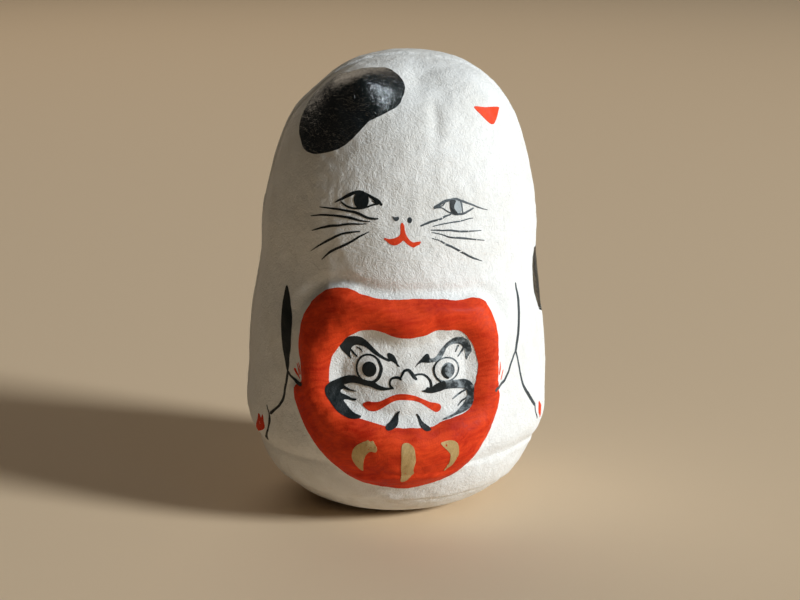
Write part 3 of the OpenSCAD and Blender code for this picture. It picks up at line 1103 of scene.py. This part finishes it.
looped_nose = [
    stroke([(-0.4, 32.8), (-0.9, 33.3), (-1, 34.1), (-0.7, 34.8), (0.1, 35.1), (0.9, 35.1),
            (1.3, 34.8)], [0.5, 0.46, 0.42, 0.46, 0.54, 0.58, 0.5]),
    stroke([(1.3, 35.1), (1.6, 35.9), (2.1, 36.5), (2.9, 36.6), (3.5, 36), (4, 35.3), (4.5, 34.8)],
           [0.42, 0.5, 0.54, 0.58, 0.71, 0.75, 0.5]),
    stroke([(3.9, 35.5), (4.8, 35.7), (5.9, 35.6), (6.8, 35), (7.4, 34.1), (7.6, 33.2),
            (7.6, 32.6)], [0.46, 0.42, 0.42, 0.46, 0.5, 0.54, 0.54])]
paint(ink, "daruma_nose", looped_nose)

# %% Moustache, mouth and chin
moustache = [
    blob([(-0.1, 32.8), (-1, 32.5), (-2.2, 32.3), (-3.5, 32.4), (-4.9, 32.9), (-6.4, 33.2),
          (-7.9, 33.5), (-9.1, 33.5), (-10.2, 33.2), (-10.6, 32.9), (-9.4, 32.2), (-8, 31.8),
          (-9.6, 31.8), (-10.8, 32.1), (-11.3, 31.8), (-11.2, 31.3), (-10.2, 30.9), (-8.9, 30.3),
          (-8, 30.2), (-8.3, 29.8), (-9.8, 30), (-10.7, 29.9), (-10.2, 29.2), (-9.3, 28.2),
          (-8.3, 27.5), (-7, 27), (-7.4, 26.6), (-8.3, 26.5), (-9.5, 26.6), (-10.8, 27.1),
          (-12, 27.9), (-13.3, 29.4), (-14.3, 30.8), (-14.6, 32), (-14.4, 32.8), (-13.5, 33.6),
          (-12.5, 34), (-11.2, 34.5), (-9.8, 35), (-8.3, 35.1), (-6.8, 34.6), (-5.6, 34.3),
          (-4.3, 34.1), (-3.5, 33.5), (-2.2, 33), (-1, 32.9)]),
    blob([(5.6, 32.2), (6.4, 32.4), (6.8, 32.9), (7.5, 32.7), (8.2, 33.1), (9, 33.6),
          (10.3, 33.9), (10.7, 33.1), (10.3, 32.1), (9, 31.7), (7.8, 31.5), (6.7, 31.7)])]
paint(ink, "daruma_moustache", moustache, lift=0.13)
grey_moustache = [
    blob([(9.5, 33.7), (10.3, 33.9), (11.6, 34), (13, 33.9), (14.3, 33.9), (15.4, 33.6),
          (16.2, 33), (16.7, 32.1), (16.6, 30.9), (16.6, 29.6), (16.2, 28.4), (15.4, 27.7),
          (14.1, 27.1), (12.8, 26.8), (11.6, 26.4), (10.5, 26.1), (10, 26.2), (11.3, 26.7),
          (12.6, 27.2), (13.7, 28), (14.5, 28.8), (15.1, 29.8), (15.2, 30.9), (15, 31.6),
          (14.3, 31.9), (13, 32.1), (11.6, 32.2), (10.3, 32.1), (9.5, 31.9)]),
    stroke([(15, 31.6), (13.7, 31), (12.2, 30)], [0.33, 0.38, 0.25]),
    stroke([(15.2, 30), (14.1, 29.3), (13.3, 28.4)], [0.33, 0.33, 0.19])]
paint(grey_ink_and_highlight, "grey_moustache", grey_moustache, lift=0.11)
lips = blob([(-6.7, 29.1), (-6.3, 29.6), (-5.4, 29.9), (-4.3, 29.8), (-3.1, 30), (-1.8, 30.6),
             (-0.6, 31.2), (0.7, 31.6), (2.1, 31.7), (3.6, 31.4), (4.9, 30.9), (6.1, 30.3),
             (7.4, 29.7), (8.6, 29.4), (9.5, 29), (9.7, 28.3), (9.3, 27.7), (8.6, 27.5),
             (7.6, 28.1), (6.5, 28.9), (5.3, 29.7), (3.8, 30.2), (2.3, 30.4), (0.9, 30.4),
             (-0.4, 30), (-1.6, 29.3), (-2.9, 28.4), (-4.1, 27.9), (-5.4, 28), (-6.3, 28.6)])
paint(vermilion, "daruma_mouth", [lips], grain=0.22, lift=0.06)
chin = [
    blob([(1.1, 28.1), (0.8, 27.2), (0.8, 26.2), (0.5, 25.2), (-0.4, 24.6), (-1.4, 24.4),
          (-1.9, 24.9), (-1.6, 25.5), (-1, 25.9), (-0.2, 26.9), (0.5, 27.8)]),
    blob([(4.5, 27.4), (5, 27.1), (5.3, 26.6), (5.7, 25.9), (6.5, 25.3), (7.4, 24.7),
          (7.6, 24.3), (6.7, 24.1), (5.9, 24.5), (5.3, 25.2), (5, 26.1)])]
paint(ink, "daruma_chin", chin, lift=0.13)

# %% Gold marks on the robe
gold_marks = [
    blob([(-5.5, 22.7), (-5.1, 22.4), (-4.5, 22.6), (-4.2, 22.1), (-3.7, 21.2), (-3.7, 20.4),
          (-4.1, 20.1), (-5, 20.2), (-5.8, 19.5), (-6.2, 18.7), (-6.5, 17.5), (-6.6, 15.9),
          (-6.6, 15.3), (-7.1, 15.5), (-7.7, 16.1), (-8.4, 17.1), (-8.9, 18.2), (-8.9, 19.4),
          (-8.5, 20.6), (-7.6, 21.6), (-6.6, 22.2), (-5.9, 22.5)]),
    blob([(1.5, 21.6), (1.9, 22.1), (2.8, 22.1), (3.6, 21.6), (4.1, 20.9), (4.3, 19.6),
          (4.4, 18.1), (4.1, 16.8), (3.9, 15.7), (4, 14.9), (3.2, 13.9), (2.4, 13), (1.5, 12.6),
          (1.2, 13), (1.4, 14.7), (1.3, 16.4), (1.4, 18.5), (1.4, 20.3)]),
    blob([(9.6, 21.8), (10.5, 22.1), (11.5, 22.2), (12.6, 21.9), (13.2, 21.1), (13.4, 19.9),
          (13.3, 18.5), (12.7, 17.3), (12, 16.2), (11, 15.4), (10.3, 14.8), (10.8, 15.9),
          (11.4, 17), (11.6, 18), (11.6, 19), (11, 20), (10.1, 21)])]
paint(gold, "gold_marks", gold_marks, lift=0.13, dry=0.06)

# %% [markdown]
# ## Arms, legs and back
# The arms and legs are moulded so softly that only the painted lines make them read.
# A black spot on the right flank runs on to the back, where the tail is painted.

# %% Left arm and leg
left_arm = [
    blob([(-0.7, 51.8), (0.4, 50.6), (1.2, 49), (1.8, 47), (2.5, 45), (3, 43), (3.1, 40.9),
          (3.3, 38.8), (3.2, 37), (3.3, 35.3), (3.1, 34), (2.4, 35.2), (1.8, 36.8), (0.9, 38.8),
          (0.5, 40.9), (-0.2, 43.3), (-0.6, 45.6), (-1, 48.2), (-1, 50.3)]),
    stroke([(3.1, 34.2), (4, 33.3), (5.6, 32.5), (7.3, 32.3), (8.2, 32.5)],
           [0.43, 0.48, 0.57, 0.71, 0.81]),
    stroke([(3.1, 34.2), (2.8, 32.6), (2.2, 30.7), (1.8, 28.9), (1.4, 27.5), (0.2, 25.9),
            (-1.4, 24.6), (-2.5, 23.7)], [0.5, 0.58, 0.56, 0.53, 0.61, 0.56, 0.56, 0.72])]
paint(ink, "left_arm_lines", left_arm, -50, lift=0.1)
left_foot = [
    stroke([(2.7, 25), (3.2, 24), (3.6, 23.3), (3.7, 21.9), (2.7, 19.8), (1.1, 17.9),
            (-0.4, 16.5)], [0.25, 0.44, 0.81, 0.5, 0.56, 0.62, 1])]
paint(ink, "left_foot_line", left_foot, -62)
paw_claws = [
    stroke([(6, 36.6), (6.7, 35.7), (7, 34.5)], [0.13, 0.47, 0.42]),
    stroke([(5.5, 36.3), (6, 35.4), (6.4, 34.2)], [0.13, 0.36, 0.3]),
    stroke([(4.9, 35), (5.7, 34.1), (6.8, 33.3)], [0.47, 0.47, 0.21])]
paint(vermilion, "left_paw_claws", paw_claws, -50, grain=0.15, dry=0.12)
foot_claws = [
    blob([(-1.1, 22.2), (-0.4, 22), (-0.1, 21.4), (0.7, 22.4), (1, 21.2), (0.5, 19),
          (-5.6, 16.7), (-5.3, 17.4), (-3.4, 19.2), (-1.6, 20.9)])]
paint(vermilion, "left_foot_claws", foot_claws, -62, dry=0.1)

# %% Right arm and leg
right_arm = [
    stroke([(4.6, 51.6), (4.6, 49.7), (4.6, 48), (4.3, 45.9), (3.7, 43.9), (3.2, 41.9),
            (2.6, 39.8), (2.1, 38.4), (1.7, 37.6)],
           [0.4, 0.6, 0.78, 0.86, 0.86, 0.9, 0.8, 0.8, 0.66]),
    stroke([(1.7, 37.6), (0.7, 36.5), (-0.4, 35.2), (-1.2, 33.9), (-2, 32.7), (-3, 31.9),
            (-5.3, 31.6), (-6.9, 31.5), (-7.2, 31.1)],
           [0.45, 0.42, 0.45, 0.5, 0.55, 0.61, 0.66, 0.66, 0.63])]
paint(thin_ink, "right_arm_lines", right_arm, 50, lift=0.1)
right_leg = [
    stroke([(-4.8, 37.5), (-4.3, 35.9), (-3.9, 34), (-3.3, 31.7), (-2.4, 29.2), (-0.8, 27.3),
            (0.8, 25.5), (2.3, 23.9)], [0.5, 0.5, 0.5, 0.56, 0.66, 0.8, 0.8, 0.7])]
paint(thin_ink, "right_leg_line", right_leg, 62)
right_foot = [
    stroke([(2.4, 24), (2.9, 22.2), (4, 20.3)], [0.47, 0.33, 0.33])]
paint(thin_ink, "right_foot_line", right_foot, 62)
paw_claws = [
    stroke([(-5.1, 36.8), (-5.2, 35.6), (-5.8, 34.4)], [0.25, 0.8, 0.45]),
    stroke([(-3.3, 34.6), (-4.4, 32.9)], [0.25, 0.6])]
paint(light_red, "right_paw_claws", paw_claws, 50, grain=0.15, dry=0.12)
foot_claws = [
    stroke([(4.8, 23.6), (5.5, 22.2), (6.5, 20.4)], [0.9, 2.5, 1.3])]
paint(light_red, "right_foot_claws", foot_claws, 62, dry=0.25)

# %% Flank spot and tail
spot = blob([(-4.6, 57), (-6.8, 55), (-8.2, 52.6), (-8.8, 50), (-8.2, 46.4), (-5.4, 42.8),
             (0, 41.2), (5, 42.6), (8.6, 46.6), (9.4, 51.6), (7.4, 56.4), (2.6, 59.2),
             (-1.6, 58.9)])
paint(gloss_ink, "flank_spot", [wavering(spot, 0.1, 6)], 93, grain=0.35)
tail = [stroke([(1, 16.5), (5.5, 17.2), (9, 20.4), (9.8, 25), (7.4, 29.2), (4.2, 32.4),
                (2.6, 36.2), (3.6, 40), (6.4, 42.4)],
               [2.2, 3.6, 4.2, 4.3, 4.2, 4, 3.6, 2.8, 0.8], tremble=0.09)]
paint(ink, "tail", tail, 180, grain=0.35)
nape = blob([(-9, 84), (-4, 87.2), (1.6, 86.4), (6.4, 87.6), (10, 84.6), (10.6, 79.6),
             (7.6, 75.8), (6.6, 71.4), (1.4, 68.6), (-4.4, 70.4), (-7, 75), (-10.6, 78.4)])
paint(ink, "nape_spot", [wavering(nape, 0.1, 4)], 180, grain=0.35)

# %% [markdown]
# ## Inside the doll
# The clay and its cover are hidden, and keep the shapes of the solid model. They still
# get the finish of fired clay and of brown board, for anyone who takes the doll apart.

# %% Clay and board
def dug_clay():
    """Red-brown fired clay with dark grit."""
    finish, tree, shader = new_finish("fired clay", Specular_IOR_Level=0.3)
    clouds, specks, _ = use(tree, age)
    grit = noise(tree, place_mm(tree), 1.4, 4, 0.7).outputs[0]
    colour = mixed(tree, clouds, (0.46, 0.25, 0.15), (0.56, 0.35, 0.22))
    colour = mixed(tree, maths(tree, "MULTIPLY", specks, 0.6), colour, (0.25, 0.17, 0.12))
    set_look(tree, shader, colour, spread(tree, grit, 0.3, 0.7, 0.75, 0.95), grit, 0.15)
    return finish


def brown_board():
    """Brown board of coarse fibres."""
    finish, tree, shader = new_finish("brown board", Specular_IOR_Level=0.3)
    fibres = use(tree, washi, Length=5.0, Width=1.6)["Height"]
    clouds, specks, _ = use(tree, age)
    colour = mixed(tree, clouds, (0.50, 0.37, 0.23), (0.60, 0.47, 0.31))
    colour = mixed(tree, maths(tree, "MULTIPLY", specks, 0.5), colour, (0.34, 0.24, 0.15))
    set_look(tree, shader, colour, spread(tree, fibres, 0, 1, 0.9, 0.8), fibres, 0.06)
    return finish


for node, finish in (("clay_weight", dug_clay()), ("weight_cover", brown_board())):
    wear(finish, frame["nodes"][node])
    print(node, "wears", finish.name)

# %% [markdown]
# ## Floor and light
# A lamp to the right stands for a window, and gives the slow change from light to shade
# that shows how round the doll is. A small high one adds gloss only, so that the ink on
# the ear shines. A wide warm lamp behind lights the back, and sends light off the pale
# floor into the shaded side.

# %% Floor
HALF = 3.0
corners = [(-HALF, -HALF, 0), (HALF, -HALF, 0), (HALF, HALF, 0), (-HALF, HALF, 0)]
floor_mesh = bpy.data.meshes.new("floor")
floor_mesh.from_pydata(corners, [], [(0, 1, 2, 3)])
floor = bpy.data.objects.new("floor", floor_mesh)
scene.collection.objects.link(floor)
pale_floor = new_finish("pale floor", Roughness=0.7, Base_Color=(0.76, 0.58, 0.39, 1))[0]
wear(pale_floor, floor)
print("the floor is", 2 * HALF, "m wide")


# %% Lamps
DOLL_MIDDLE = Vector((0, 0, 0.05))


def lamp(name, where, size, power, tint):
    """A round lamp that faces the doll: place and size in metres, power in watts."""
    light = bpy.data.lights.new(name, "AREA")
    light.shape = "DISK"
    light.size = size
    light.energy = power
    light.color = tint
    holder = bpy.data.objects.new(name, light)
    holder.location = where
    aim = DOLL_MIDDLE - Vector(where)
    holder.rotation_euler = aim.to_track_quat("-Z", "Y").to_euler()
    scene.collection.objects.link(holder)
    return holder


lamp("window", (2.388, -1.064, 1.15), 0.64, 96, (0.91, 0.97, 1.0))
skylight = lamp("skylight", (0.31, -0.30, 0.638), 0.08, 1.3, (0.80, 0.92, 1.0))
skylight.visible_diffuse = False
lamp("room", (-0.3, 1.0, 0.9), 1.3, 3.6, (1.0, 0.86, 0.68))
print(len(bpy.data.lights), "lamps")

# %% Faint glow from all round
GLOW = 0.02
world = bpy.data.worlds.new("room glow")
world.use_nodes = True
background = world.node_tree.nodes["Background"]
background.inputs["Color"].default_value = (1.0, 0.93, 0.84, 1)
background.inputs["Strength"].default_value = GLOW
scene.world = world
scene.view_settings.view_transform = "Standard"
print("the glow has strength", GLOW)

# %% Sizes of the meshes
meshes = [piece.data for piece in scene.objects if piece.type == "MESH"]
print(len(meshes), "meshes with", sum(len(mesh.polygons) for mesh in meshes), "faces")
